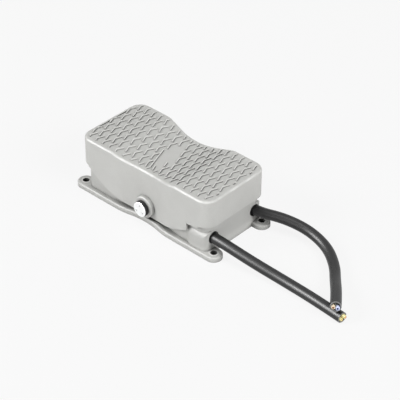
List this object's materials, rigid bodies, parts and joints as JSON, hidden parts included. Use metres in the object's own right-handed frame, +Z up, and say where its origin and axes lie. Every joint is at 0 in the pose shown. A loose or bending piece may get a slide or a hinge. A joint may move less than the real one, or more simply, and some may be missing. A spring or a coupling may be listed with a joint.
{
  "type": "foot switch",
  "caption": "Rocker foot switch: a cast grey pedal with a chevron tread pivots over a cast base with fixing ears, and short black cables leave one end with their cores showing",
  "frame": {"origin": "middle of the footprint, on the surface that the base stands on", "axes": "+X along the length towards the cable end, +Y across towards the far side, +Z up"},
  "size_m": [0.2515, 0.0738, 0.049],
  "materials": {
    "cast_grey": "cast, light warm grey paint with a fine texture",
    "bright_steel": "bright plated, turned",
    "plain_steel": "zinc plated",
    "bronze": "plain turned bearing bronze",
    "spring_steel": "drawn wire",
    "black_rubber": "satin black",
    "cable_sheath": "glossy satin black",
    "core_plastic": "pale insulation",
    "wire_plastic": "coloured insulation",
    "copper": "bright copper strands",
    "switch_case": "moulded black",
    "button_plastic": "moulded red",
    "tin_brass": "stamped brass"
  },
  "bodies": {
    "housing": {"base": "cast_grey", "pivot_screw_near": "bright_steel", "pivot_screw_far": "bright_steel", "pivot_washer_near": "plain_steel", "pivot_washer_far": "plain_steel", "cable_grommet_near": "black_rubber", "cable_grommet_far": "black_rubber", "cable_clip_near": "plain_steel", "cable_clip_far": "plain_steel", "clip_screw_near": "plain_steel", "clip_screw_far": "plain_steel", "switch_body_left": "switch_case", "switch_body_right": "switch_case", "switch_terminals_left": "tin_brass", "switch_terminals_right": "tin_brass", "switch_screws_left": "plain_steel", "switch_screws_right": "plain_steel", "return_spring_left": "spring_steel", "return_spring_right": "spring_steel", "wires_left": "wire_plastic", "wires_right": "wire_plastic", "cable_near": "cable_sheath", "cable_near_cores": "core_plastic", "cable_near_strands": "copper", "cable_far": "cable_sheath", "cable_far_cores": "core_plastic", "cable_far_strands": "copper"},
    "rocker": {"pedal": "cast_grey", "pivot_bush_near": "bronze", "pivot_bush_far": "bronze", "press_screw_left": "plain_steel", "press_screw_right": "plain_steel", "lock_nut_left": "plain_steel", "lock_nut_right": "plain_steel"},
    "left_button": {"switch_plunger_left": "button_plastic"},
    "right_button": {"switch_plunger_right": "button_plastic"}
  },
  "joints": [
    {"name": "pedal_rock", "type": "hinge", "parent": "housing", "child": "rocker", "pos_m": [0, 0, 0.0138], "axis": [0, 1, 0], "range_deg": [-3, 3], "stiffness_Nm_per_rad": 12, "deforming": ["return_spring_left", "return_spring_right"]},
    {"name": "left_button_press", "type": "slide", "parent": "housing", "child": "left_button", "axis": [0, 0, 1], "range_m": [-0.00165, 0.00165]},
    {"name": "right_button_press", "type": "slide", "parent": "housing", "child": "right_button", "axis": [0, 0, 1], "range_m": [-0.00165, 0.00165]}
  ],
  "couplings": [
    {"joint": "left_button_press", "follows": "pedal_rock", "m_per_rad": 0.031},
    {"joint": "right_button_press", "follows": "pedal_rock", "m_per_rad": -0.031}
  ]
}
